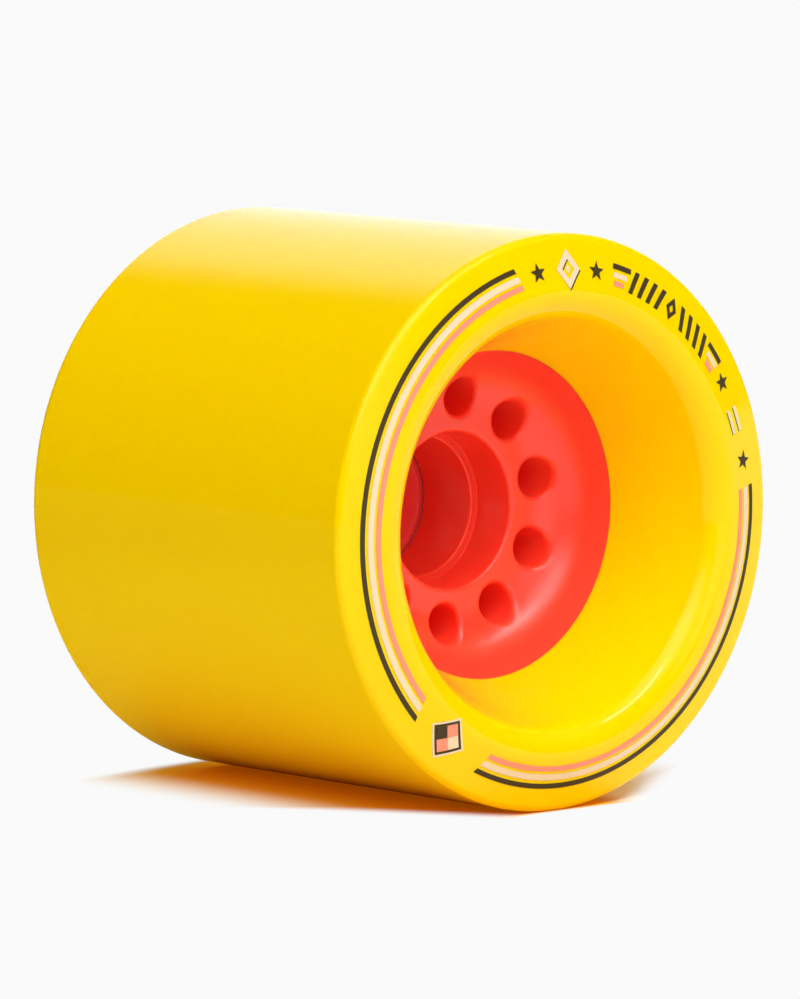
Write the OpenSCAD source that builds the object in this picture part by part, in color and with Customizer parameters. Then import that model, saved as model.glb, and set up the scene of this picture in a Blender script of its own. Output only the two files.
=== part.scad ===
// Longboard wheel: a cast urethane tyre on a dished plastic core, with one sealed ball bearing in the
// rear seat. It turns about +Y, the printed face looks along -Y, and all sizes are in millimetres.

/* [Tyre] */
// Diameter over the tread
wheel_d = 80; // [70:0.5:107]
// Width over the crowns of the two lips
wheel_w = 68.6; // [55:0.1:90]
// Diameter of the ridge along each crown
crown_d = 64; // [58:0.5:66]
// Radius of the rounding from the crown into the recess
lip_r = 4; // [2:0.1:6]
// Slope of the face from the crown down to the tread, in degrees
face_deg = 12.5; // [4:0.5:20]
// Radius along the edge of the tread
edge_r = 1.2; // [0.4:0.1:3]

/* [Core] */
// Shift of the core from the middle of the tyre, towards the rear
core_shift = 0.85; // [-3:0.05:3]
// Diameter of the rim where the core meets the tyre in the recess
rim_d = 45.8; // [44:0.2:48]
// Height of that rim above the floor of the dish
rim_h = 7.8; // [6:0.1:10]
// Radius of the corner between the floor and the wall of the dish
dish_r = 8; // [3:0.1:9]
// Diameter of the core inside the tyre
core_d = 51; // [50:0.2:55]
// Fall of the rim's end face towards the outside
rim_fall = 1; // [0.5:0.1:2]
// Thickness of the web between the two bearing seats
web_t = 10; // [8:0.1:14]
// Bore through the web, for the axle and its spacer
web_bore_d = 19.6; // [16:0.1:20]
// Chamfer at the mouth of each bearing seat
mouth_c = 0.6; // [0.2:0.1:1]

/* [Core pockets] */
// Number of round pockets in each face of the core
pocket_n = 10; // [6:1:12]
// Diameter of a pocket
pocket_d = 5.5; // [4:0.1:6.4]
// Diameter of the circle through the pockets
pocket_pcd = 31.9; // [30:0.1:34]
// Depth of a pocket below the floor of the dish
pocket_depth = 8; // [3:0.1:9]
// Chamfer at the mouth of a pocket
pocket_c = 0.5; // [0.2:0.1:0.8]
// Turn of the first pocket from +X, in degrees
pocket_turn = 12.8; // [0:0.1:36]

/* [Locking shapes] */
// Number of ring grooves that the tyre is cast into
groove_n = 3; // [1:1:4]
// Width of a ring groove
groove_w = 4; // [2:0.1:5]
// Depth of a ring groove
groove_h = 1.4; // [0.6:0.1:1.6]
// Number of round keyways along the core
key_n = 10; // [4:1:12]
// Diameter of a keyway
key_d = 2.6; // [1.5:0.1:3]
// Thickness of the bond between tyre and core
bond_t = 0.05; // [0.02:0.01:0.1]

/* [Bearing] */
// Outside diameter of the bearing
bearing_d = 22; // [21.5:0.1:22.5]
// Bore of the bearing
bearing_bore = 8; // [7:0.1:8.4]
// Width of the bearing, and depth of its seat
bearing_w = 7; // [7:0.1:8]
// Number of balls
ball_n = 7; // [7:1:7]
// Diameter of a ball
ball_d = 3.969; // [3.8:0.001:4]
// Diameter of the circle through the balls
pitch_d = 15; // [14.9:0.01:15.1]
// Outside diameter of the inner ring
inner_ring_d = 12; // [11.8:0.1:12.4]
// Inside diameter of the outer ring
outer_ring_id = 18.2; // [17.8:0.1:18.4]
// Diameter of the seal's step in the outer ring
step_d = 19.9; // [19.2:0.1:20.1]
// Thickness of a seal
seal_t = 0.5; // [0.4:0.05:0.55]
// Depth of a seal below the face of the rings
seal_set = 0.2; // [0.1:0.05:0.25]
// Inside diameter of the cage
cage_id = 13.5; // [13:0.1:13.8]
// Outside diameter of the cage
cage_d = 16.5; // [16.2:0.1:17]
// Thickness of the cage's back behind the balls
cage_back = 0.35; // [0.25:0.05:0.4]
// Reach of the cage's fingers past the middle of the balls
cage_reach = 1.2; // [0.8:0.1:1.6]

/* [Clearances] */
// Radial clearance of the bearing in its seat
seat_clear = 0.01; // [0.005:0.005:0.03]
// Radial clearance of a ball in its track
ball_clear = 0.045; // [0.02:0.005:0.06]
// Clearance of a ball in its cage pocket
cage_clear = 0.12; // [0.08:0.01:0.14]
// Radial clearance of a seal's lip on the inner ring
seal_clear = 0.08; // [0.04:0.01:0.1]
// Radial clearance of a seal in its step
step_clear = 0.02; // [0.01:0.01:0.05]

/* [Print] */
// Thickness of the ink
ink_t = 0.1; // [0.05:0.01:0.15]
// Gap between the ink and the face
ink_gap = 0.02; // [0.01:0.01:0.03]
// Inset of the black stripe's middle from the tread
stripe_inset = 3.7; // [3:0.1:4]
// Spacing of the stripes
stripe_pitch = 1.24; // [1:0.01:1.3]
// Width of the black stripe
black_w = 0.7; // [0.4:0.05:0.8]
// Width of the cream stripe
cream_w = 0.8; // [0.4:0.05:0.8]
// Width of the pink stripe
pink_w = 0.7; // [0.4:0.05:0.8]
// Start of the first set of stripes, in degrees
arc_a_start = 103; // [100:1:110]
// Length of the first set of stripes, in degrees
arc_a_sweep = 119.5; // [60:0.5:125]
// Start of the second set of stripes, in degrees
arc_b_start = 245; // [240:1:250]
// Length of the second set of stripes, in degrees
arc_b_sweep = 119.5; // [60:0.5:125]
// Shift from one stripe's start to the next, in degrees
arc_lag = 0.8; // [0:0.1:2]
// Radius of a star
star_r = 1.4; // [0.6:0.05:1.5]
// Radius of a star's inner corners, as a share of its radius
star_waist = 0.42; // [0.35:0.01:0.5]
// Inset of the stars from the tread
star_inset = 4.9; // [4.4:0.1:5.2]
// Place of the first star, in degrees
star_1_deg = 97.5; // [94:0.5:99]
// Place of the second star, in degrees
star_2_deg = 79.5; // [75:0.5:85]
// Place of the third star, in degrees
star_3_deg = 30; // [24:0.5:33]
// Place of the fourth star, in degrees
star_4_deg = 10.5; // [8:0.5:15]

/* [Hidden] */
$fn = 96;
wheel_r = wheel_d / 2;
rim_r = rim_d / 2;
core_r = core_d / 2;
pitch_r = pitch_d / 2;
ball_r = ball_d / 2;
bearing_r = bearing_d / 2;
floor_h = web_t / 2 + bearing_w;
rim_z = floor_h + rim_h;
bearing_z = web_t / 2 + bearing_w / 2;
track_r = ball_r + ball_clear;
seal_in = bearing_w / 2 - seal_set - seal_t;
groove_pitch = 2 * (rim_z - rim_fall) / (groove_n + 1);
lip_c = [crown_d / 2, wheel_w / 2 - lip_r];
face_top = lip_c + lip_r * [sin(face_deg), cos(face_deg)];
edge_x = wheel_r - edge_r;
edge_c = [edge_x, face_z(edge_x) - edge_r / cos(face_deg)];

// Height of the sloping face above the tyre's middle, at a radius
function face_z(r) = face_top[1] - (r - face_top[0]) * tan(face_deg);

// Rim of the core seen from the tyre's middle, on the front side (1) or the rear side (-1)
function rim_p(s) = [rim_r, rim_z - s * core_shift];

// Slope of the recess wall, which leaves the rim and runs tangent into the lip
function wall_deg(s) = let (d = lip_c - rim_p(s)) atan2(d[1], d[0]) + asin(lip_r / norm(d));
function wall_dir(s) = [cos(wall_deg(s)), sin(wall_deg(s))];
function wall_len(s) = let (d = lip_c - rim_p(s)) sqrt(d * d - lip_r * lip_r);

// Centre of the dish's corner, tangent to its floor and to the wall
function dish_z(s) = floor_h - s * core_shift + dish_r;
function dish_x(s) = rim_r - (rim_p(s)[1] - dish_z(s)) / tan(wall_deg(s)) - dish_r / sin(wall_deg(s));

// Turns a profile of radius and height about the wheel's axis, with height pointing to the front
module turned() {
    rotate([90, 0, 0])
        rotate_extrude()
            children();
}

// Moves a piece made along Z onto the wheel's axis, at a height above the core's middle
module on_axis(z) {
    rotate([90, 0, 0])
        translate([0, 0, z - core_shift])
            children();
}

// Body of one side of the tyre, from past its middle to the crown, as one turned piece with round edges
module tyre_side(s) {
    turned()
        polygon([
            [rim_r, -1],
            rim_p(s),
            rim_p(s) + wall_len(s) * wall_dir(s),
            face_top,
            edge_c + edge_r * [sin(face_deg), cos(face_deg)],
            edge_c + [edge_r, 0],
            [wheel_r, -1]
        ]);
    turned()
        translate(lip_c)
            circle(lip_r);
    turned()
        translate(edge_c)
            circle(edge_r);
}

// One dish of the core's section
module dish_side(s) {
    c = [dish_x(s), dish_z(s)];
    top = rim_p(s) + 4 * wall_dir(s);
    polygon([
        [0, c[1] - dish_r],
        [c[0], c[1] - dish_r],
        c + dish_r * [wall_dir(s)[1], -wall_dir(s)[0]],
        top,
        [0, top[1]]
    ]);
    translate(c)
        circle(dish_r);
}

// Outside of the core with its grooves and keyways, grown by a gap
module core_outside(gap) {
    on_axis(0)
        difference() {
            rotate_extrude()
                difference() {
                    polygon([
                        [0, -rim_z - gap],
                        [rim_r, -rim_z - gap],
                        [core_r + gap, -rim_z - gap + rim_fall],
                        [core_r + gap, rim_z + gap - rim_fall],
                        [rim_r, rim_z + gap],
                        [0, rim_z + gap]
                    ]);
                    for (i = [1 : groove_n])
                        translate([core_r - groove_h + gap, i * groove_pitch - rim_z + rim_fall])
                            translate([0, gap - groove_w / 2])
                                square([groove_h + 1, groove_w - 2 * gap]);
                }
            for (i = [0 : key_n - 1])
                rotate(pocket_turn + (i + 0.5) * 360 / key_n)
                    translate([core_r, 0, -rim_z - 1])
                        cylinder(h = 2 * rim_z + 2, d = key_d - 2 * gap);
        }
}

// Pockets, bearing seat and seat mouth of one face of the core
module core_face_cuts() {
    translate([0, 0, web_t / 2])
        cylinder(h = rim_z, r = bearing_r);
    translate([0, 0, floor_h - mouth_c])
        cylinder(h = 2 * mouth_c, r1 = bearing_r, r2 = bearing_r + 2 * mouth_c);
    for (i = [0 : pocket_n - 1])
        rotate(pocket_turn + i * 360 / pocket_n)
            translate([pocket_pcd / 2, 0, floor_h - pocket_depth]) {
                cylinder(h = pocket_depth + rim_h, d = pocket_d);
                translate([0, 0, pocket_depth - pocket_c])
                    cylinder(h = pocket_c, d1 = pocket_d, d2 = pocket_d + 2 * pocket_c);
                translate([0, 0, pocket_depth])
                    cylinder(h = rim_h, d = pocket_d + 2 * pocket_c);
            }
}

module tyre() {
    color([1, 0.8, 0.02])
        difference() {
            union() {
                tyre_side(1);
                mirror([0, 1, 0])
                    tyre_side(-1);
            }
            core_outside(bond_t);
        }
}

module core() {
    color([0.95, 0.2, 0.15])
        difference() {
            core_outside(0);
            turned()
                dish_side(1);
            turned()
                mirror([0, 1])
                    dish_side(-1);
            on_axis(0) {
                cylinder(h = 4 * rim_z, d = web_bore_d, center = true);
                core_face_cuts();
                mirror([0, 0, 1])
                    core_face_cuts();
            }
        }
}

// Section of the balls' track, cut from both rings
module track() {
    translate([pitch_r, 0])
        circle(track_r);
}

module outer_ring() {
    ring_r = bearing_r - seat_clear;
    color([0.75, 0.77, 0.8])
        on_axis(-bearing_z)
            rotate_extrude()
                difference() {
                    translate([outer_ring_id / 2, -bearing_w / 2])
                        square([ring_r - outer_ring_id / 2, bearing_w]);
                    track();
                    for (s = [-1, 1])
                        translate([0, s * (seal_in + bearing_w) - bearing_w])
                            square([step_d / 2, 2 * bearing_w]);
                }
}

module inner_ring() {
    color([0.75, 0.77, 0.8])
        on_axis(-bearing_z)
            rotate_extrude()
                difference() {
                    translate([bearing_bore / 2, -bearing_w / 2])
                        square([(inner_ring_d - bearing_bore) / 2, bearing_w]);
                    track();
                }
}

// Ball places around the bearing
module at_ball(i) {
    rotate(i * 360 / ball_n)
        translate([pitch_r, 0, 0])
            children();
}

module cage() {
    back = ball_r + cage_clear + cage_back;
    color([0.72, 0.66, 0.5])
        on_axis(-bearing_z)
            difference() {
                rotate_extrude()
                    translate([cage_id / 2, -cage_reach])
                        square([(cage_d - cage_id) / 2, cage_reach + back]);
                for (i = [1 : ball_n])
                    at_ball(i)
                        sphere(ball_r + cage_clear);
            }
}

// Seal on the inboard side (1) or the outboard side (-1) of the bearing
module seal(s) {
    in_r = inner_ring_d / 2 + seal_clear;
    color([0.7, 0.08, 0.09])
        on_axis(-bearing_z)
            rotate_extrude()
                translate([in_r, s * (seal_in + seal_t / 2) - seal_t / 2])
                    square([step_d / 2 - step_clear - in_r, seal_t]);
}

module ball(i) {
    color([0.85, 0.86, 0.88])
        on_axis(-bearing_z)
            at_ball(i)
                sphere(ball_r);
}

// Arc of ink on the front face, k steps in from the black stripe
module stripe(k, w, start, sweep) {
    r = wheel_r - stripe_inset - k * stripe_pitch;
    inner = face_z(r - w / 2) + ink_gap;
    outer = face_z(r + w / 2) + ink_gap;
    rotate([90, 0, 0])
        rotate(start + k * arc_lag)
            rotate_extrude(angle = sweep - 2 * k * arc_lag)
                polygon([
                    [r - w / 2, inner],
                    [r + w / 2, outer],
                    [r + w / 2, outer + ink_t],
                    [r - w / 2, inner + ink_t]
                ]);
}

module black_stripe(start, sweep) {
    color([0.16, 0.12, 0.09])
        stripe(0, black_w, start, sweep);
}

module cream_stripe(start, sweep) {
    color([0.96, 0.84, 0.62])
        stripe(1, cream_w, start, sweep);
}

module pink_stripe(start, sweep) {
    color([0.96, 0.5, 0.42])
        stripe(2, pink_w, start, sweep);
}

// Five-pointed star of ink, one point towards the tread
module star(deg) {
    r = wheel_r - star_inset;
    color([0.16, 0.12, 0.09])
        rotate([90, 0, 0])
            rotate(deg)
                translate([r, 0, face_z(r) + ink_gap])
                    rotate([0, face_deg, 0])
                        linear_extrude(ink_t)
                            polygon([for (i = [0 : 9])
                                let (q = i % 2 == 0 ? star_r : star_r * star_waist)
                                q * [cos(36 * i), sin(36 * i)]]);
}

tyre();
core();
outer_ring();
inner_ring();
cage();
seal(1);  // seal_inboard
seal(-1);  // seal_outboard
ball(1);  // ball_1
ball(2);  // ball_2
ball(3);  // ball_3
ball(4);  // ball_4
ball(5);  // ball_5
ball(6);  // ball_6
ball(7);  // ball_7
black_stripe(arc_a_start, arc_a_sweep);  // black_stripe_a
black_stripe(arc_b_start, arc_b_sweep);  // black_stripe_b
cream_stripe(arc_a_start, arc_a_sweep);  // cream_stripe_a
cream_stripe(arc_b_start, arc_b_sweep);  // cream_stripe_b
pink_stripe(arc_a_start, arc_a_sweep);  // pink_stripe_a
pink_stripe(arc_b_start, arc_b_sweep);  // pink_stripe_b
star(star_1_deg);  // star_1
star(star_2_deg);  // star_2
star(star_3_deg);  // star_3
star(star_4_deg);  // star_4
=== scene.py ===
# %% [markdown]
# # A longboard wheel
# The wheel is a wide tyre of yellow urethane, cast round a red plastic core. The core is dished, has a ring of
# round pockets, and holds a ball bearing in its rear seat. We load the CAD model as a fixed frame first, so every
# surface that we compute afterwards lands exactly where the solids are. All sizes below are in millimetres and are
# turned into metres at the last moment, because a wheel is easier to think about in millimetres.

# %% Load the frame
import bpy
import numpy as np
from mathutils import Matrix


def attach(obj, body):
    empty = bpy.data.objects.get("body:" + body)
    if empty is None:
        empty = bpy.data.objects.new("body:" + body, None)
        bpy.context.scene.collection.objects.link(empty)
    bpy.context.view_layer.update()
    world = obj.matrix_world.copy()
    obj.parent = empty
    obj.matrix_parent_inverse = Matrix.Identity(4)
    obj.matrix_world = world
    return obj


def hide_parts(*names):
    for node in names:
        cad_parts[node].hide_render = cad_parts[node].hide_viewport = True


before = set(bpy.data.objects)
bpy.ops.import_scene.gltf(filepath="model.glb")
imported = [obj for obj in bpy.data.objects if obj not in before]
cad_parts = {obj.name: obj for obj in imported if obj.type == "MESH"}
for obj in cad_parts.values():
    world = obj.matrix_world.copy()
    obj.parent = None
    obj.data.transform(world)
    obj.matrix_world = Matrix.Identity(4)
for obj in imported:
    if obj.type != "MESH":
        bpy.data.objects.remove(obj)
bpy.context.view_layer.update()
scene = bpy.context.scene
scene.view_settings.view_transform = "Standard"

# %% [markdown]
# ## The camera
# The picture is taken with a long lens from more than a metre away, a little above the axle. A camera is a point
# and three directions: right, up and back. We write those directions from two angles, the azimuth round the wheel
# and the elevation above the floor, and put the camera that far back along the last one.

# %% Camera
MM = 0.001
AZIMUTH, ELEVATION = np.radians(-41.587), np.radians(6.297)
DISTANCE, SIDE_SHIFT, RISE = 1168.2, 0.12, 0.59
FOCAL_PX, WIDTH_PX, SENSOR = 8313.3, 800, 36.0
sky = np.array([0.0, 0.0, 1.0])
right = np.array([np.cos(AZIMUTH), np.sin(AZIMUTH), 0.0])
toward = np.array([np.sin(AZIMUTH), -np.cos(AZIMUTH), 0.0])
back = np.cos(ELEVATION) * toward + np.sin(ELEVATION) * sky
up = np.cross(back, right)
eye = (SIDE_SHIFT * right + RISE * up + DISTANCE * back) * MM

camera_data = bpy.data.cameras.new("camera")
camera_data.sensor_fit = "HORIZONTAL"
camera_data.sensor_width = SENSOR
camera_data.lens = FOCAL_PX / WIDTH_PX * SENSOR
camera_data.clip_end = 50
camera = bpy.data.objects.new("camera", camera_data)
scene.collection.objects.link(camera)
pose = np.eye(4)
pose[:3, 0], pose[:3, 1], pose[:3, 2], pose[:3, 3] = right, up, back, eye
camera.matrix_world = Matrix(pose.tolist())
scene.camera = camera
print("camera at", np.round(eye, 3), "lens", round(camera_data.lens, 1), "mm")

# %% [markdown]
# ## Tools for turned surfaces
# A turned piece is a profile, a chain of points (radius, depth), carried round the wheel's axis. The rows of its grid
# are the steps of the angle, and the columns are the profile's points. Depth is the frame's Y, so the printed face is
# at negative depth. Straight stretches get extra points close to their ends, so that smooth shading stays flat there.

# %% Profile helpers
def arc(centre, radius, start, end, steps):
    """Points of a circle's arc: centre + radius * (cos, sin) of an angle that runs from start to end degrees."""
    angle = np.radians(np.linspace(start, end, steps + 1))
    return np.asarray(centre) + radius * np.stack([np.cos(angle), np.sin(angle)], axis=1)


def stretch(start, end, inner):
    """Points between two ends: start + share * (end - start), without the ends themselves."""
    share = np.asarray(inner)[:, None]
    return np.asarray(start) * (1 - share) + np.asarray(end) * share


def turn(profile, steps):
    """The profile (radius, depth) carried round the axis: x = radius cos angle, y = depth, z = radius sin angle."""
    angle = np.linspace(0, 2 * np.pi, steps, endpoint=False)[:, None]
    radius, depth = profile[None, :, 0], profile[None, :, 1]
    return np.stack([radius * np.cos(angle), depth + 0 * angle, radius * np.sin(angle)], axis=-1).reshape(-1, 3)


print("a quarter turn ends at", np.round(arc([0, 0], 1, 0, 90, 1)[-1], 3))

# %% [markdown]
# ## From points to pieces
# A grid of points becomes a mesh when each cell of four neighbours is named as a face. A closed piece needs its faces
# turned outwards, and the sign of the volume that they enclose tells us if they are. Where a grid shrinks to a point,
# a face loses one corner and becomes a triangle. Each piece then rides on a body of the frame, so it moves with it.

# %% Mesh helpers
SHARP_DEG = 40


def grid_faces(rows, columns, wrap_rows, wrap_columns):
    """Corner numbers of the quads between neighbouring points of a grid, row by row.
    The last row or column is joined to the first where asked."""
    row = np.arange(rows if wrap_rows else rows - 1)[:, None]
    column = np.arange(columns if wrap_columns else columns - 1)[None, :]
    here, there = row * columns, (row + 1) % rows * columns
    beside = (column + 1) % columns
    corners = [here + column, here + beside, there + beside, there + column]
    return np.stack(np.broadcast_arrays(*corners), axis=-1).reshape(-1, 4)


def six_volumes(points, quads):
    """Six times the enclosed volume: the sum over the quads' triangles of a . (b x c).
    It is negative if the faces point inwards."""
    a, b, c, d = (points[quads[:, k]] for k in range(4))
    return np.sum(a * np.cross(b, c)) + np.sum(a * np.cross(c, d))


def make_piece(name, points_mm, quads, body, replaced):
    """Merges points that coincide, turns the faces outwards by the sign of the volume, drops corners that repeat
    the one before, and puts the rest into a new smooth mesh that rides on a body."""
    _, first, same = np.unique(np.round(points_mm, 4), axis=0, return_index=True, return_inverse=True)
    points, quads = np.asarray(points_mm)[first] * MM, same.reshape(-1)[quads]
    if six_volumes(points, quads) < 0:
        quads = quads[:, ::-1]
    kept = quads != np.roll(quads, 1, axis=1)
    whole, three = kept.sum(axis=1) == 4, kept.sum(axis=1) == 3
    faces = quads[whole].tolist() + quads[three][kept[three]].reshape(-1, 3).tolist()
    mesh = bpy.data.meshes.new(name)
    mesh.from_pydata(points.tolist(), [], faces)
    mesh.polygons.foreach_set("use_smooth", np.ones(len(faces), dtype=bool))
    mesh.set_sharp_from_angle(angle=np.radians(SHARP_DEG))
    piece = bpy.data.objects.new(name, mesh)
    scene.collection.objects.link(piece)
    if replaced:
        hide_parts(*replaced)
    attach(piece, body)
    print(name, len(points), "points", len(faces), "faces")
    return piece


def turned_piece(name, profile, body, replaced, steps):
    """A closed profile turned into a closed ring."""
    faces = grid_faces(steps, len(profile), True, True)
    return make_piece(name, turn(profile, steps), faces, body, replaced)


print("a closed grid of 3 x 4 points has", len(grid_faces(3, 4, True, True)), "faces")

# %% [markdown]
# ## The tyre
# The tyre is cast in a mould and then ground flat along its tread. Its outline is a few tangent lines and arcs: the
# tread, a small edge, a face that slopes up to a crown, a rounding over the lip, and a wall that runs straight down
# into the recess until it meets the red core. We work out where each line touches its arc, instead of guessing
# points, because a highlight shows every kink.

# %% Outline of the tyre
WHEEL_R, HALF_W, CROWN_R, LIP_R, FACE_DEG, EDGE_R = 40.0, 34.3, 32.0, 4.0, 12.5, 1.2
CORE_SHIFT, RIM_R, RIM_H, DISH_R, CORE_R, RIM_FALL = 0.85, 22.9, 7.8, 8.0, 25.5, 1.0
WEB, SEAT_R, SEAT_W, WEB_BORE_R = 10.0, 11.0, 7.0, 9.8
FLOOR_H = WEB / 2 + SEAT_W
RIM_Z = FLOOR_H + RIM_H
slope = np.radians(FACE_DEG)
off_face = np.array([np.sin(slope), np.cos(slope)])
lip_centre = np.array([CROWN_R, HALF_W - LIP_R])
face_top = lip_centre + LIP_R * off_face


def face_height(radius):
    """Height of the front above the wheel's middle: the lip's circle, then a line that falls outwards from it."""
    on_lip = lip_centre[1] + np.sqrt(LIP_R**2 - np.clip(radius - CROWN_R, -LIP_R, LIP_R) ** 2)
    return np.where(radius < face_top[0], on_lip, face_top[1] - (radius - face_top[0]) * np.tan(slope))


edge_centre = np.array([WHEEL_R - EDGE_R, face_height(WHEEL_R - EDGE_R) - EDGE_R / np.cos(slope)])


def recess_wall(side):
    """Rim point, direction, length and angle of the wall: the line from the rim that touches the lip's circle.
    Its angle is that of the way from rim to centre, plus asin(radius / distance)."""
    rim = np.array([RIM_R, RIM_Z - side * CORE_SHIFT])
    way = lip_centre - rim
    angle = np.arctan2(way[1], way[0]) + np.arcsin(LIP_R / np.linalg.norm(way))
    return rim, np.array([np.cos(angle), np.sin(angle)]), np.sqrt(way @ way - LIP_R**2), np.degrees(angle)


def tyre_side(side):
    """Half of the tyre's outline, from the rim over the lip to the middle of the tread.
    Heights are counted outwards from the wheel's middle."""
    rim, way, length, angle = recess_wall(side)
    return np.concatenate([
        [rim], stretch(rim, rim + length * way, (0.02, 0.2, 0.4, 0.6, 0.8, 0.97)),
        arc(lip_centre, LIP_R, angle + 90, 90 - FACE_DEG, 26),
        stretch(face_top, edge_centre + EDGE_R * off_face, (0.03, 0.35, 0.65, 0.97)),
        arc(edge_centre, EDGE_R, 90 - FACE_DEG, 0, 12),
        stretch([WHEEL_R, edge_centre[1]], [WHEEL_R, 0], (0.01, 0.1, 0.4, 0.7)),
    ])


print("tread is", round(2 * edge_centre[1], 2), "mm wide between its edges")

# %% [markdown]
# ## Turning the tyre
# The core sits a little to the rear of the tyre's middle, so the two halves of the outline differ. We mirror the front
# half, join both at the middle of the tread, and close the ring along the hidden face that is bonded to the core.
# Many steps round the axis keep the long outline of the tread smooth.

# %% Tyre
BOND, TYRE_STEPS = 0.05, 360
inner_r = CORE_R + BOND
hidden = np.array([[inner_r, RIM_Z + CORE_SHIFT - RIM_FALL], [inner_r, -(RIM_Z - CORE_SHIFT - RIM_FALL)]])
section = np.concatenate([tyre_side(1) * [1, -1], [[WHEEL_R, 0.0]], tyre_side(-1)[::-1], hidden])
tyre_skin = turned_piece("tyre_skin", section, "wheel", ["tyre"], TYRE_STEPS)

# %% [markdown]
# ## The core's dish
# The core is moulded. Its dish has a flat floor, a round corner and a wall that carries on into the tyre. We write it
# as one height above each radius, because the pockets that follow have to sink into exactly this surface.

# %% Height of the dish
def dish_corner(side):
    """Centre of the dish's corner circle, tangent to the floor and to the wall."""
    rim, way, _, _ = recess_wall(side)
    height = FLOOR_H - side * CORE_SHIFT + DISH_R
    on_wall = rim[0] - (rim[1] - height) * way[0] / way[1]
    return np.array([on_wall - DISH_R / way[1], height])


def corner_end(side):
    """Radius where the corner's circle goes over into the wall."""
    return dish_corner(side)[0] + DISH_R * recess_wall(side)[1][1]


def dish_height(radius, side):
    """Height of the dish above the wheel's middle: flat up to the corner's start, then the circle, then the wall."""
    centre, leave = dish_corner(side), corner_end(side)
    rim, way, _, _ = recess_wall(side)
    across = np.clip(radius - centre[0], 0, leave - centre[0])
    curve = centre[1] - np.sqrt(DISH_R**2 - across**2)
    return np.where(radius > leave, rim[1] - (rim[0] - radius) * way[1] / way[0], curve)


print("front corner runs from radius", round(dish_corner(1)[0], 2), "to", round(corner_end(1), 2), "mm")

# %% [markdown]
# ## The pockets
# Ten round pockets are sunk into the dish, to save material. A pocket breaks the turned surface, so each gets a patch
# of its own: a tenth of the ring is a loop of points around the pocket, and rings of points walk from that loop to
# the pocket's mouth, over its rounded edge, down its wall and to the middle of its bottom. Neighbouring patches share
# their outer points, so they join without a seam.

# %% Patch of a pocket
POCKETS, POCKET_R, POCKET_PITCH, POCKET_DEPTH, POCKET_TURN, MOUTH_R = 10, 2.7, 15.95, 8.0, 12.8, 0.8
PATCH_IN, PATCH_OUT, AROUND = 12.2, 20.6, 240
FLAT_ROWS, ROUND_ROWS, SIDE_STEPS = 8, 10, 10
WALL_SHARES, BOTTOM_SHARES = np.array([0.08, 0.35, 0.65, 0.92]), np.array([0.93, 0.75, 0.4, 0.0])
SECTOR = 360.0 / POCKETS


def patch_loop(middle):
    """The loop round a pocket: along the inner circle, out, back along the outer circle, and in again."""
    half, per = np.radians(SECTOR / 2), AROUND // POCKETS
    sweep, climb = np.linspace(-half, half, per + 1), np.linspace(PATCH_IN, PATCH_OUT, SIDE_STEPS + 1)
    radius = np.concatenate([np.full(per, PATCH_IN), climb[:-1], np.full(per, PATCH_OUT), climb[:0:-1]])
    angle = np.concatenate([sweep[:-1], np.full(SIDE_STEPS, half), sweep[:0:-1], np.full(SIDE_STEPS, -half)])
    return radius[:, None] * np.stack([np.cos(angle + middle), np.sin(angle + middle)], axis=1)


def pocket_patch(index, side):
    """Grid of one pocket. Its columns run round the loop, its rows from the loop inwards: the place is
    loop + share * (mouth - loop), then the mouth's rounding drops by f - sqrt(f^2 - d^2), with d the way into the
    rounding, and the wall goes straight down to a flat bottom."""
    middle = np.radians(POCKET_TURN + SECTOR * index)
    loop = patch_loop(middle)
    centre = POCKET_PITCH * np.array([np.cos(middle), np.sin(middle)])
    way = loop - centre
    way /= np.linalg.norm(way, axis=1, keepdims=True)
    mouth = centre + (POCKET_R + MOUTH_R) * way
    share = np.linspace(0, 1, FLAT_ROWS)[:, None, None]
    turn_in = np.sin(np.linspace(0, np.pi / 2, ROUND_ROWS + 1))[1:, None, None]
    rounding = centre + (POCKET_R + MOUTH_R * (1 - turn_in)) * way
    plan = np.concatenate([loop * (1 - share) + mouth * share, rounding])
    height = dish_height(np.linalg.norm(plan, axis=-1), side)
    height[FLAT_ROWS:] -= MOUTH_R * (1 - np.sqrt(1 - turn_in[..., 0] ** 2))
    bottom = FLOOR_H - side * CORE_SHIFT - POCKET_DEPTH
    wall = height[-1] * (1 - WALL_SHARES[:, None]) + bottom * WALL_SHARES[:, None]
    inwards = centre + POCKET_R * BOTTOM_SHARES[:, None, None] * way
    plan = np.concatenate([plan, np.repeat(plan[-1:], len(WALL_SHARES), axis=0), inwards])
    height = np.concatenate([height, wall, np.full((len(BOTTOM_SHARES), len(loop)), bottom)])
    return np.stack([plan[..., 0], -side * height, plan[..., 1]], axis=-1)


print("a patch has", pocket_patch(0, 1).shape[:2], "rows and columns")

# %% [markdown]
# ## Joining the core
# What is left of the core is turned: the bore with its two bearing seats inside the rings of pockets, and the rim
# outside them. All parts meet in the same circles of points, so the core becomes one closed skin. The turned parts
# are swung round a little first, to bring their points onto the corners of the patches.

# %% Core
SEAT_MOUTH_R, SEAT_CORNER_R, SHOULDER_R, SHOULDER_END = 0.6, 0.12, 0.3, 0.45


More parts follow.
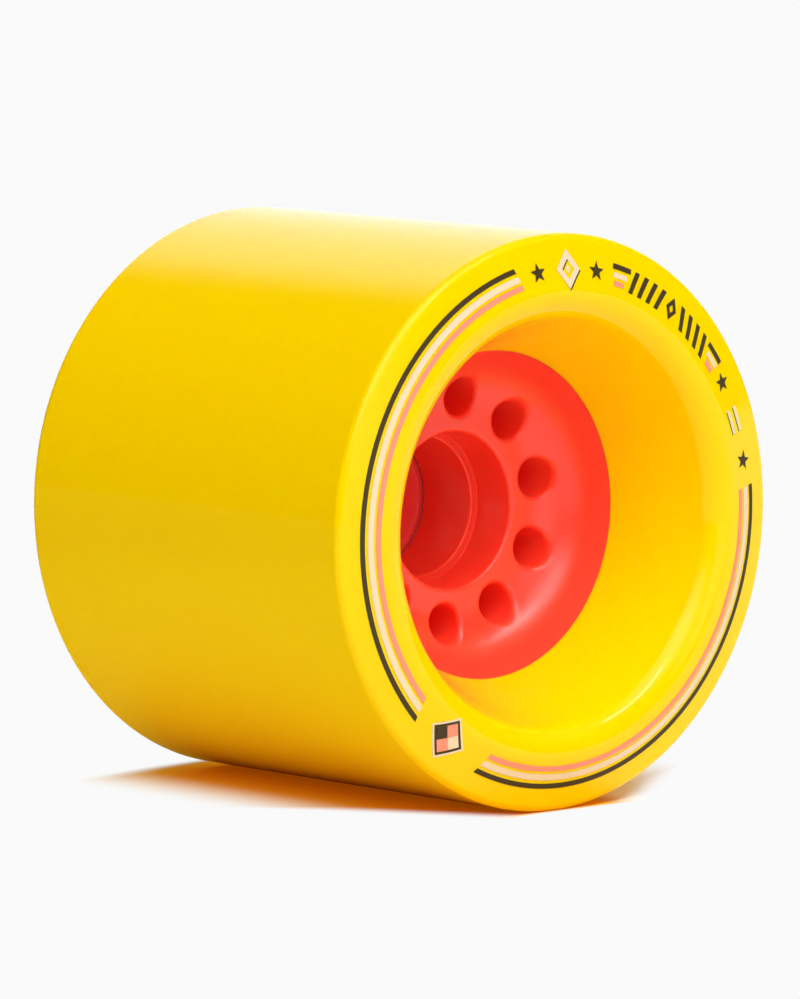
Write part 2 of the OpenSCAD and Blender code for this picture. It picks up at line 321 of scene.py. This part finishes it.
def bore_half(side):
    """Half of the bore's profile: floor, rounded mouth, seat, shoulder and the start of the web's bore."""
    top, step = FLOOR_H - side * CORE_SHIFT, WEB / 2 - side * CORE_SHIFT
    mouth = arc([SEAT_R + SEAT_MOUTH_R, top - SEAT_MOUTH_R], SEAT_MOUTH_R, 90, 180, 8)
    corner = arc([SEAT_R - SEAT_CORNER_R, step + SEAT_CORNER_R], SEAT_CORNER_R, 0, -90, 4)
    shoulder = arc([WEB_BORE_R + SHOULDER_R, step - SHOULDER_R], SHOULDER_R, 90, 180, 6)
    return np.concatenate([
        [[PATCH_IN, top]], stretch([PATCH_IN, top], mouth[0], (0.5, 0.9)), mouth,
        stretch(mouth[-1], [SEAT_R, step], (0.05, 0.5, 0.94)), corner,
        stretch(corner[-1], shoulder[0], (0.1, 0.9)), shoulder, [[WEB_BORE_R, step - SHOULDER_END]],
    ])


def rim_half(side):
    """Half of the rim's profile: the corner, the wall, the rim's edge and its fall to the face under the tyre."""
    rim, leave = recess_wall(side)[0], corner_end(side)
    radius = np.concatenate([np.linspace(PATCH_OUT, leave, 6), np.linspace(leave, RIM_R, 4)[1:-1]])
    wall = np.stack([radius, dish_height(radius, side)], axis=1)
    fall = np.array([[CORE_R, RIM_Z - side * CORE_SHIFT - RIM_FALL]])
    return np.concatenate([wall, [rim], stretch(rim, fall[0], (0.05,)), fall])


bore = np.concatenate([bore_half(1) * [1, -1], bore_half(-1)[::-1]])
edge = np.concatenate([rim_half(-1), (rim_half(1) * [1, -1])[::-1]])
spin = np.radians(POCKET_TURN - SECTOR / 2)
swing = np.array([[np.cos(spin), 0, -np.sin(spin)], [0, 1, 0], [np.sin(spin), 0, np.cos(spin)]])
points, faces, count = [], [], 0
for side, index in [(s, k) for s in (1, -1) for k in range(POCKETS)]:
    patch = pocket_patch(index, side)
    faces.append(grid_faces(*patch.shape[:2], False, True)[:, ::-side] + count)
    points.append(patch.reshape(-1, 3))
    count += len(points[-1])
for profile in (bore, edge):
    faces.append(grid_faces(AROUND, len(profile), True, False)[:, ::-1] + count)
    points.append(turn(profile, AROUND) @ swing.T)
    count += len(points[-1])
core_skin = make_piece("core_skin", np.concatenate(points), np.concatenate(faces), "wheel", ["core"])

# %% [markdown]
# ## The bearing
# Only the rear face of the bearing shows well: two ground steel rings with small chamfers and a pressed red seal
# between them. Rings and seals are turned profiles. The balls and the cage stay as the CAD model has them.

# %% Rings and seals
BEARING_Y = CORE_SHIFT + WEB / 2 + SEAT_W / 2
PITCH_R, TRACK_R, RING_END, RING_CHAMFER, RING_STEPS = 7.5, 2.03, SEAT_W / 2, 0.3, 160
SEAL_SEAT, SEAL_BACK = 2.8, 2.82
SEAL_R = np.array([6.09, 6.3, 6.5, 6.7, 7.0, 7.3, 8.9, 9.05, 9.2, 9.35, 9.7, 9.93])
SEAL_FACE = np.array([3.12, 3.24, 3.26, 3.22, 3.14, 3.12, 3.12, 3.18, 3.24, 3.26, 3.26, 3.2])


def ring_profile(near, far, step):
    """A ring's section: a face with a small chamfer at each end of the far wall, a step for the seal, and the balls'
    track, an arc that bites into the near wall."""
    out = np.sign(far - near)
    half = np.degrees(np.arccos(abs(near - PITCH_R) / TRACK_R))
    middle = 0 if out > 0 else 180
    track = arc([PITCH_R, 0], TRACK_R, middle - out * half, middle + out * half, 12)
    side = np.array([
        [near, SEAL_SEAT], [step, SEAL_SEAT], [step, RING_END],
        [far - RING_CHAMFER * out, RING_END], [far, RING_END - RING_CHAMFER],
    ])
    return np.concatenate([track, side, (side * [1, -1])[::-1]]) + [0, BEARING_Y]


def seal_profile(out):
    """A pressed seal: a flat ring with a shallow groove and a raised bead, mirrored for the other face."""
    depth = np.concatenate([SEAL_FACE, np.full(len(SEAL_R), SEAL_BACK)])
    return np.stack([np.concatenate([SEAL_R, SEAL_R[::-1]]), BEARING_Y + out * depth], axis=1)


def bearing_piece(node, profile, body):
    """A turned piece of the bearing that stands in for a CAD node."""
    return turned_piece(f"{node}_skin", profile, body, [node], RING_STEPS)


outer_ring = bearing_piece("outer_ring", ring_profile(9.1, 10.99, 9.95), "wheel")
inner_ring = bearing_piece("inner_ring", ring_profile(6.0, 4.0, 5.98), "inner_ring")
seal_in = bearing_piece("seal_inboard", seal_profile(-1), "wheel")
seal_out = bearing_piece("seal_outboard", seal_profile(1), "wheel")

# %% [markdown]
# ## The print
# Ink is stamped on the sloping face with a soft pad. The real film is thinner than a hair. Here it stands about as
# proud as one, so that it never sinks into the tyre. A stripe is a small box section, carried along an arc at a fixed
# radius. Its ends are cut on a slant: the end angle shifts with the radius.

# %% Stripes
INK, SLANT_R, STRIPE_STEPS = 0.06, 35.5, 160
ARCS = (("a", 103.4, 222.3, (0.35, 0.75)), ("b", 244.9, 364.4, (-0.75, 0.25)))
STRIPES = (("black", 36.3, 0.7), ("cream", 35.03, 0.85), ("pink", 33.85, 0.72))


def on_face(radius, angle, lift):
    """A point on the front, lifted along the axis: (radius cos, -(height + lift), radius sin)."""
    return np.stack([radius * np.cos(angle), -(face_height(radius) + lift), radius * np.sin(angle)], axis=-1)


def stripe(name, middle, width, start, end, slant, replaced):
    """Box section along an arc: corner k is at middle +- width / 2 and at a lift of +- ink. The angle runs from start
    to end degrees, plus a slant per millimetre of radius that goes over from its first value to its second."""
    radius = middle + width / 2 * np.array([-1, 1, 1, -1])[None, :]
    lift = np.array([INK, INK, -INK, -INK])[None, :]
    share = np.linspace(0, 1, STRIPE_STEPS)[:, None]
    lean = slant[0] * (1 - share) + slant[1] * share
    angle = np.radians(start + share * (end - start) + lean * (radius - SLANT_R))
    points = on_face(radius + 0 * angle, angle, lift + 0 * angle).reshape(-1, 3)
    last = (STRIPE_STEPS - 1) * 4
    caps = np.array([[0, 1, 2, 3], [last + 3, last + 2, last + 1, last]])
    faces = np.concatenate([grid_faces(STRIPE_STEPS, 4, False, True), caps])
    return make_piece(name, points, faces, "wheel", replaced)


films = {"black": [], "cream": [], "pink": []}
for part, start, end, slant in ARCS:
    for ink, middle, width in STRIPES:
        node = f"{ink}_stripe_{part}"
        films[ink].append(stripe(f"{node}_ink", middle, width, start, end, slant, [node]))

# %% [markdown]
# ## Small print
# Stars, bars and lozenges are flat outlines drawn in millimetres beside a place on the face, then wrapped onto the
# cone. Each film is a ring of four corners along its outline: two on the outline and two on an inner one. A filled
# shape simply lets its inner outline shrink to a point.

# %% Films from outlines
EDGE_POINTS, STAR_WAIST = 6, 0.42


def outline(corners):
    """Points along a closed chain of corners: each edge is corner + share * (next corner - corner)."""
    share = (np.arange(EDGE_POINTS) / EDGE_POINTS)[None, :, None]
    return (corners[:, None] * (1 - share) + np.roll(corners, -1, axis=0)[:, None] * share).reshape(-1, 2)


def film(name, ink, place, shapes, lift=INK, node=None):
    """Outlines wrapped onto the face: a point (u, v) beside a place (radius, degrees) goes to radius + v at the angle
    degrees - u / radius. A shape is an outline, or a pair of an outline and the outline of its hole."""
    points, faces, count = [], [], 0
    for shape in shapes:
        holed = isinstance(shape, tuple)
        outer = outline(shape[0] if holed else shape)
        inner = outline(shape[1]) if holed else np.repeat(outer.mean(axis=0, keepdims=True), len(outer), axis=0)
        flat = np.stack([outer, inner, inner, outer], axis=1)
        radius, angle = place[0] + flat[..., 1], np.radians(place[1]) - flat[..., 0] / place[0]
        height = np.array([lift, lift, -INK, -INK])[None, :] + 0 * radius
        points.append(on_face(radius, angle, height).reshape(-1, 3))
        faces.append(grid_faces(len(outer), 4, True, True) + count)
        count += len(points[-1])
    points, faces, replaced = np.concatenate(points), np.concatenate(faces), [node] if node else ()
    films[ink].append(make_piece(name, points, faces, "wheel", replaced))


def star(size):
    """Ten corners, alternately at the star's radius and at its waist, the first one pointing outwards."""
    angle = np.radians(90 + 36 * np.arange(10))
    radius = size * np.where(np.arange(10) % 2, STAR_WAIST, 1.0)
    return radius[:, None] * np.stack([np.cos(angle), np.sin(angle)], axis=1)


def lozenge(width, height, u=0.0, v=0.0):
    """Four corners half a width and half a height away from (u, v)."""
    return np.array([[u, v + height / 2], [u + width / 2, v], [u, v - height / 2], [u - width / 2, v]])


def bar(length, height, lean=0.0, u=0.0, v=0.0):
    """A slanted bar round (u, v): a rectangle whose upper edge is shifted by lean times its height."""
    shift, half = lean * height / 2, length / 2
    across = u + np.array([shift - half, shift + half, half - shift, -half - shift])
    return np.stack([across, v + height / 2 * np.array([1, 1, -1, -1])], axis=1)


print("a star's outline has", len(outline(star(1.0))), "points")

# %% [markdown]
# ## Ornaments
# The four stars stand in for their CAD nodes. A band of bars, a crest, two dashes and a checked badge fill the rest of
# the face. The crest and the dashes have a dark shade, a copy printed first and a little aside, so it lies lower.

# %% Stars and ornaments
PRINT_R, LOW_R, STAR_R, SHADE = 35.1, 34.9, 1.4, 0.6 * INK
for k, degrees in enumerate((97.4, 79.6, 30.1, 10.5)):
    film(f"star_{k + 1}_ink", "black", (PRINT_R, degrees), [star(STAR_R)], node=f"star_{k + 1}")

band, crest, dash, badge = (PRINT_R, 54.2), (PRINT_R, 88.3), (LOW_R, 20.4), (LOW_R, 232.6)
bars = [bar(0.8, 3.3, -0.3 * way, way * (2.6 + 1.85 * k)) for k in range(4) for way in (-1, 1)]
film("band_bars_ink", "black", band, bars + [(lozenge(2.2, 3.4), lozenge(0.9, 1.4))])
for ink, v, near, far in (("black", 1.3, 9.0, 12.4), ("cream", 0.1, 9.55, 12.2), ("pink", -1.05, 10.1, 12.0)):
    tails = [bar(far - near, 0.75, 0.0, way * (near + far) / 2, v) for way in (-1, 1)]
    film(f"band_tails_{ink}_ink", ink, band, tails)
crest_shade = (lozenge(4.3, 5.5, 0.16, -0.22), lozenge(2.3, 2.9, 0.16, -0.22))
film("crest_shade_ink", "black", crest, [crest_shade], lift=SHADE)
film("crest_ink", "cream", crest, [(lozenge(4.3, 5.5), lozenge(2.2, 2.8)), lozenge(0.9, 1.2)])
film("dash_shade_ink", "black", dash, [bar(3.5, 0.55, 0.0, 0.1, v - 0.15) for v in (0.75, -0.75)], lift=SHADE)
film("dash_ink", "cream", dash, [bar(3.6, 0.6, 0.0, 0.0, v) for v in (0.75, -0.75)])
cream_frame, black_frame = (lozenge(7.0, 6.6), lozenge(6.2, 5.8)), (lozenge(6.2, 5.8), lozenge(5.2, 4.9))
film("badge_cream_ink", "cream", badge, [cream_frame, lozenge(2.5, 2.35, -1.28, 0.0)])
film("badge_black_ink", "black", badge, [black_frame, lozenge(2.5, 2.35, 1.28, 0.0)])
film("badge_pink_ink", "pink", badge, [lozenge(2.5, 2.35, 0.0, v) for v in (1.2, -1.2)])

# %% [markdown]
# ## Unevenness
# A perfectly even surface looks like a drawing. Cast plastic, ground steel and printed ink all vary a little, so every
# finish gets its colour and its roughness through one shared node group. It spreads both round their own values with
# noise, and puts out a finer noise as a height for bumps.

# %% Shared unevenness
FINER, BROAD_DETAIL, FINE_DETAIL = 22.0, 3.0, 2.0


def math_node(tree, operation, *values):
    """Output of a new Math node. Each value is a plain number or the output of another node."""
    node = tree.nodes.new("ShaderNodeMath")
    node.operation = operation
    for socket, value in zip(node.inputs, values):
        if isinstance(value, float):
            socket.default_value = value
        else:
            tree.links.new(value, socket)
    return node.outputs[0]


def new_group(name, inputs, outputs):
    """An empty node group with named sockets, and the sockets to link from and to inside it."""
    group = bpy.data.node_groups.new(name, "ShaderNodeTree")
    for way, sockets in (("INPUT", inputs), ("OUTPUT", outputs)):
        for socket, kind in sockets.items():
            group.interface.new_socket(socket, in_out=way, socket_type=f"NodeSocket{kind}")
    return group, group.nodes.new("NodeGroupInput").outputs, group.nodes.new("NodeGroupOutput").inputs


def noise_node(tree, place, scale, detail):
    """Noise from 0 to 1 at a place."""
    node = tree.nodes.new("ShaderNodeTexNoise")
    node.inputs["Detail"].default_value = detail
    tree.links.new(place, node.inputs["Vector"])
    tree.links.new(scale, node.inputs["Scale"])
    return node.outputs["Fac"]


def make_unevenness():
    """Node group: colour and roughness times 1 + spread * (2 * noise - 1), and a finer noise as a height."""
    inputs = {"Color": "Color", "Scale": "Float", "Spread": "Float", "Roughness": "Float"}
    group, given, put = new_group("unevenness", inputs, {"Color": "Color", "Roughness": "Float", "Height": "Float"})
    place = group.nodes.new("ShaderNodeTexCoord").outputs["Object"]
    broad = noise_node(group, place, given["Scale"], BROAD_DETAIL)
    fine = noise_node(group, place, math_node(group, "MULTIPLY", given["Scale"], FINER), FINE_DETAIL)
    swing_by = math_node(group, "MULTIPLY_ADD", broad, 2.0, -1.0)
    factor = math_node(group, "MULTIPLY_ADD", swing_by, given["Spread"], 1.0)
    tint = group.nodes.new("ShaderNodeVectorMath")
    tint.operation = "SCALE"
    group.links.new(given["Color"], tint.inputs[0])
    group.links.new(factor, tint.inputs["Scale"])
    group.links.new(tint.outputs[0], put["Color"])
    group.links.new(math_node(group, "MULTIPLY", given["Roughness"], factor), put["Roughness"])
    group.links.new(fine, put["Height"])
    return group


unevenness = make_unevenness()
print("unevenness has", len(unevenness.nodes), "nodes")

# %% [markdown]
# ## A finish
# The Principled shader covers plastic, metal, rubber and ink: they differ in a few plain numbers. So one helper makes
# every finish. It sends colour and roughness through the unevenness, and sets the other numbers on the shader itself,
# where a reader finds them.

# %% Finish helpers
BUMP_DEPTH = 0.2 * MM


def finish(name, colour, roughness, scale, spread, bump=0.0, **sockets):
    """A Principled material with colour and roughness from the shared unevenness, and plain numbers elsewhere."""
    material = bpy.data.materials.new(name)
    material.use_nodes = True
    nodes, links = material.node_tree.nodes, material.node_tree.links
    shader = nodes["Principled BSDF"]
    uneven = nodes.new("ShaderNodeGroup")
    uneven.node_tree = unevenness
    given = {"Color": (*colour, 1), "Scale": scale, "Spread": spread, "Roughness": roughness}
    for socket, value in given.items():
        uneven.inputs[socket].default_value = value
    links.new(uneven.outputs["Color"], shader.inputs["Base Color"])
    links.new(uneven.outputs["Roughness"], shader.inputs["Roughness"])
    if bump:
        bumps = nodes.new("ShaderNodeBump")
        bumps.inputs["Strength"].default_value = bump
        bumps.inputs["Distance"].default_value = BUMP_DEPTH
        links.new(uneven.outputs["Height"], bumps.inputs["Height"])
        links.new(bumps.outputs["Normal"], shader.inputs["Normal"])
    for socket, value in sockets.items():
        shader.inputs[socket.replace("_", " ")].default_value = value
    return material


def srgb(r, g, b):
    """Linear colour of an 8-bit display colour: ((c + 0.055) / 1.055) ^ 2.4, or c / 12.92 near black."""
    c = np.array([r, g, b]) / 255
    return tuple(np.where(c <= 0.04045, c / 12.92, ((c + 0.055) / 1.055) ** 2.4))


def dress(piece, material):
    """Gives a piece or a CAD node one material."""
    piece.data.materials.clear()
    piece.data.materials.append(material)


print("mid grey on a display is", round(srgb(128, 128, 128)[0], 3), "in linear light")

# %% [markdown]
# ## Finishes
# Urethane is a soft, slightly cloudy plastic: light goes in a little way and comes out again, so its shadows stay
# warm. The Principled shader's subsurface inputs do that, and a thin coat gives the clear highlights of a cast
# surface. The core is a stiffer plastic with less of both. The bearing is bare steel with rubber seals.

# %% Finishes
urethane = finish(
    "urethane", (1.0, 0.6, 0.0), 0.15, scale=25, spread=0.012, bump=0.01,
    Subsurface_Weight=1.0, Subsurface_Scale=0.0005, Subsurface_Radius=(1.0, 1.0, 0.5),
    Specular_IOR_Level=0.1, Specular_Tint=(1.0, 0.7, 0.0, 1.0), Coat_Weight=0.32, Coat_Roughness=0.06,
)
red_plastic = finish(
    "red_plastic", (0.93, 0.06, 0.03), 0.3, scale=40, spread=0.015, bump=0.015,
    Subsurface_Weight=0.3, Subsurface_Scale=0.002, Subsurface_Radius=(1.0, 0.25, 0.15),
)
ring_steel = finish("ring_steel", (0.62, 0.63, 0.65), 0.28, scale=180, spread=0.12, Metallic=1.0)
ball_steel = finish("ball_steel", (0.75, 0.76, 0.78), 0.12, scale=200, spread=0.05, Metallic=1.0)
cage_steel = finish("cage_steel", (0.5, 0.48, 0.44), 0.4, scale=200, spread=0.1, Metallic=1.0)
seal_rubber = finish("seal_rubber", srgb(235, 52, 44), 0.5, scale=150, spread=0.06, bump=0.05)
inks = {
    "black": finish("ink_black", srgb(64, 50, 26), 0.5, scale=220, spread=0.06, Specular_IOR_Level=0.2),
    "cream": finish("ink_cream", srgb(224, 200, 163), 0.45, scale=220, spread=0.03),
    "pink": finish("ink_pink", srgb(234, 136, 106), 0.45, scale=220, spread=0.03),
}
node_finish = {
    "tyre": urethane, "core": red_plastic, "ball": ball_steel, "cage": cage_steel, "seal": seal_rubber,
    "star": inks["black"], **inks,
}

dress(tyre_skin, urethane)
dress(core_skin, red_plastic)
for piece in (outer_ring, inner_ring):
    dress(piece, ring_steel)
for piece in (seal_in, seal_out):
    dress(piece, seal_rubber)
for ink, pieces in films.items():
    for piece in pieces:
        dress(piece, inks[ink])
for name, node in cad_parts.items():
    dress(node, node_finish.get(name.split("_")[0], ring_steel))
print("materials:", len(bpy.data.materials))

# %% [markdown]
# ## The floor
# A picture of this kind is taken on white paper. The floor is one large square, level with the lowest line of the
# tread. What the paper shows depends on the distance from the contact, so we need a few helpers that turn a place on
# the floor into lengths, and lengths into shares from 0 to 1.

# %% Floor
FLOOR_HALF = 6.0
corners = np.array([[-1, -1], [1, -1], [1, 1], [-1, 1]]) * FLOOR_HALF
floor_mesh = bpy.data.meshes.new("floor")
floor_mesh.from_pydata(np.insert(corners, 2, -WHEEL_R * MM, axis=1).tolist(), [], [[0, 1, 2, 3]])
floor = bpy.data.objects.new("floor", floor_mesh)
scene.collection.objects.link(floor)
paper = bpy.data.materials.new("paper")
paper.use_nodes = True
sheet_tree = paper.node_tree
sheet_tree.nodes.remove(sheet_tree.nodes["Principled BSDF"])


def calc(operation, *values):
    """Output of a Math node in the paper's material."""
    return math_node(sheet_tree, operation, *values)


def fade(value, near, far):
    """Smooth step of a length: 0 below near mm, 1 above far mm."""
    step = sheet_tree.nodes.new("ShaderNodeMapRange")
    step.interpolation_type = "SMOOTHSTEP"
    sheet_tree.links.new(value, step.inputs["Value"])
    step.inputs["From Min"].default_value, step.inputs["From Max"].default_value = near * MM, far * MM
    return step.outputs["Result"]


def tinted(share, start, end):
    """Mix of two colours: start + share * (end - start). Either may be another mix."""
    mix = sheet_tree.nodes.new("ShaderNodeMix")
    mix.data_type = "RGBA"
    sheet_tree.links.new(share, mix.inputs["Factor"])
    for name, colour in (("A", start), ("B", end)):
        if isinstance(colour, tuple):
            mix.inputs[name].default_value = (*colour, 1)
        else:
            sheet_tree.links.new(colour, mix.inputs[name])
    return mix.outputs["Result"]


print("floor is", 2 * FLOOR_HALF, "m wide")

# %% [markdown]
# ## The fan of the shadow
# The light washes the paper out, apart from the place behind the contact, where the wheel stands in its way. That
# place is a fan. It starts near the front end of the contact's line and opens backwards. A point is outside the fan
# if it is past its left side, past its right side, before its start, or too far from the line. Each of these is
# a length that turns positive outside, so the largest of the four says how far outside a point is.

# %% Distances from the contact
LINE_SHIFT, PAST_END, TINT_RIGHT = 6.3 * MM, 5.0, 6.0
FAN_LEFT, FAN_RIGHT, FAN_RIGHT_SHIFT = 0.63, 1.26, 7 * MM
FAN_START, FAN_START_SHIFT, FAN_REACH, FAN_REACH_SHIFT = 4.0, 4 * MM, 0.43, 5.3 * MM
contact_end = float(edge_centre[1] * MM)
place, axes = sheet_tree.nodes.new("ShaderNodeTexCoord"), sheet_tree.nodes.new("ShaderNodeSeparateXYZ")
sheet_tree.links.new(place.outputs["Object"], axes.inputs[0])
aside, along = axes.outputs["X"], axes.outputs["Y"]
past_end = calc("MAXIMUM", calc("SUBTRACT", calc("ABSOLUTE", along), contact_end), 0.0)
past_end = calc("MULTIPLY", past_end, PAST_END)
off_line = calc("SUBTRACT", aside, LINE_SHIFT)


def distance(right_side):
    """Distance from the contact's line, with the floor to its right counted right_side times as far."""
    off = calc("MAXIMUM", calc("MULTIPLY", off_line, -1.0), calc("MULTIPLY", off_line, right_side))
    return calc("SQRT", calc("ADD", calc("MULTIPLY", off, off), calc("MULTIPLY", past_end, past_end)))


reach, tint = distance(1.0), distance(TINT_RIGHT)
behind = calc("ADD", along, contact_end)
left_of = calc("MULTIPLY_ADD", behind, -FAN_LEFT, calc("MULTIPLY", aside, -1.0))
right_of = calc("MULTIPLY_ADD", behind, -FAN_RIGHT, calc("SUBTRACT", aside, FAN_RIGHT_SHIFT))
before = calc("MULTIPLY_ADD", behind, -FAN_START, FAN_START_SHIFT)
beyond = calc("MULTIPLY_ADD", reach, FAN_REACH, -FAN_REACH_SHIFT)
outside = calc("MAXIMUM", calc("MAXIMUM", left_of, right_of), calc("MAXIMUM", before, beyond))
print("the contact's line is", round(2 * contact_end / MM, 1), "mm long")

# %% [markdown]
# ## What the paper shows
# Inside the fan the paper shows its real shading, with painted light added. Close to the contact its colour is
# painted orange, a painted warm shadow that stands for light coming through the urethane, and a faint painted warm
# glow is added for the camera alone. Outside the fan the camera sees plain white. What the wheel itself gathers from
# the paper is another matter. In front and to the right the paper is white for it too. Elsewhere its colour is
# painted: yellowish near the wheel, a painted bounce of the wheel's yellow light, and dark far off, a painted
# darkness that keeps the far floor out of the wheel's reflections and bounce light.

# %% Paper
# Painted light: a warm shadow at the contact, a yellow bounce near the wheel, a dark far floor and a warm glow.
PAINTED_WARM_SHADOW, PAINTED_YELLOW_BOUNCE = (0.78, 0.49, 0.03), (0.95, 0.9, 0.12)
PAINTED_DARK_FAR, FRONT_PAPER = (0.1, 0.1, 0.1), (0.95, 0.95, 0.95)
GLOW_COLOUR, GLOW, WHITE = (1.0, 0.19, 0.0), 0.24, 0.955
# Painted colour for the wheel's rays: a yellow bounce near the wheel, fading to painted dark far off.
painted_surround = tinted(fade(tint, 150, 600), PAINTED_YELLOW_BOUNCE, PAINTED_DARK_FAR)
in_front = fade(calc("MAXIMUM", calc("MULTIPLY", behind, -1.0), aside), -20, 20)
sheet = tinted(fade(tint, 20, 70), PAINTED_WARM_SHADOW, tinted(in_front, painted_surround, FRONT_PAPER))
seen = sheet_tree.nodes.new("ShaderNodeLightPath").outputs["Is Camera Ray"]
matte, warm, white = (sheet_tree.nodes.new(f"ShaderNode{kind}") for kind in ("BsdfDiffuse", "Emission", "Emission"))
lit, blend = sheet_tree.nodes.new("ShaderNodeAddShader"), sheet_tree.nodes.new("ShaderNodeMixShader")
warm.inputs["Color"].default_value = (*GLOW_COLOUR, 1)
white.inputs["Strength"].default_value = WHITE
# Painted warm glow near the contact, an emission that only the camera sees.
glow = calc("MULTIPLY_ADD", fade(tint, 14, 40), -GLOW, GLOW)
for start, end in (
    (sheet, matte.inputs["Color"]),
    (calc("MULTIPLY", seen, glow), warm.inputs["Strength"]),
    (matte.outputs[0], lit.inputs[0]),
    (warm.outputs[0], lit.inputs[1]),
    (calc("MULTIPLY", seen, fade(outside, 4.5, 12)), blend.inputs["Fac"]),
    (lit.outputs[0], blend.inputs[1]),
    (white.outputs[0], blend.inputs[2]),
    (blend.outputs[0], sheet_tree.nodes["Material Output"].inputs["Surface"]),
):
    sheet_tree.links.new(start, end)
floor_mesh.materials.append(paper)
print("paper has", len(sheet_tree.nodes), "nodes")

# %% [markdown]
# ## A soft panel
# The light is all in the world: soft panels, each a round patch of sky around one direction. A patch is bright inside
# its inner angle and fades out to its outer angle. The cosine between a ray and the panel's direction tells how far
# from the middle the ray goes, so a node group needs little more than a dot product. Panels are chained by a sum.

# %% Soft panel
def make_panel():
    """Node group: Sum + Light times a smooth step, from Outer to Inner, of the cosine between Ray and Aim."""
    inputs = {"Ray": "Vector", "Aim": "Vector", "Inner": "Float", "Outer": "Float", "Light": "Float", "Sum": "Float"}
    group, given, put = new_group("soft_panel", inputs, {"Sum": "Float"})
    cosine, step = group.nodes.new("ShaderNodeVectorMath"), group.nodes.new("ShaderNodeMapRange")
    cosine.operation, step.interpolation_type = "DOT_PRODUCT", "SMOOTHSTEP"
    group.links.new(given["Ray"], cosine.inputs[0])
    group.links.new(given["Aim"], cosine.inputs[1])
    group.links.new(cosine.outputs["Value"], step.inputs["Value"])
    group.links.new(given["Outer"], step.inputs["From Min"])
    group.links.new(given["Inner"], step.inputs["From Max"])
    lit_up = math_node(group, "MULTIPLY_ADD", step.outputs["Result"], given["Light"], given["Sum"])
    group.links.new(lit_up, put["Sum"])
    return group


soft_panel = make_panel()
print("a panel has", len(soft_panel.nodes), "nodes")

# %% [markdown]
# ## The light
# Broad panels shade the tread and fill the recess. A row of small bright patches, high on the right, stands for one
# long lamp, and draws the thin highlights on the lip, on the tread's edge and in the dish. Each panel is given by its
# name, the degrees to the right of the camera, the degrees above the floor, its inner and outer angle, and its light.
# Light bounces often in a deep yellow recess before it dies out, so more bounces are allowed.

# %% Panels
BACKDROP, BOUNCES = 0.95, 24
PANELS = [
    ("key", -3, 45, 8, 22, 1.8),
    ("front", 0, 52, 12, 43, 2.95),
    *[(f"strip_{k + 1}", 28 + 13 * k, 55, 1.5, 3.8, 24.0) for k in range(5)],
    ("low_right", 42, 4, 8, 26, 1.8),
    ("right", 90, 62, 5, 38, 0.2),
    ("back", 180, 20, 24, 38, 1.2),
    ("top_left", -110, 72, 5, 25, 0.3),
]
world = bpy.data.worlds.new("studio")
scene.world = world
world.use_nodes = True
nodes, links = world.node_tree.nodes, world.node_tree.links
ray, total = nodes.new("ShaderNodeTexCoord").outputs["Generated"], None
for name, *angles, light in PANELS:
    around, above, inner, outer = np.radians(angles)
    aim = np.cos(above) * (np.sin(around) * right + np.cos(around) * toward) + np.sin(above) * sky
    panel = nodes.new("ShaderNodeGroup")
    panel.node_tree, panel.label = soft_panel, name
    panel.inputs["Aim"].default_value = aim
    panel.inputs["Inner"].default_value, panel.inputs["Outer"].default_value = np.cos(inner), np.cos(outer)
    panel.inputs["Light"].default_value = light
    links.new(ray, panel.inputs["Ray"])
    if total:
        links.new(total, panel.inputs["Sum"])
    total = panel.outputs["Sum"]
    print("panel", name, np.round(aim, 2), light)
strength = nodes.new("ShaderNodeMix")
strength.inputs["B"].default_value = BACKDROP
links.new(nodes.new("ShaderNodeLightPath").outputs["Is Camera Ray"], strength.inputs["Factor"])
links.new(total, strength.inputs["A"])
nodes["Background"].inputs["Color"].default_value = (1, 1, 1, 1)
links.new(strength.outputs["Result"], nodes["Background"].inputs["Strength"])
scene.cycles.max_bounces = scene.cycles.diffuse_bounces = BOUNCES
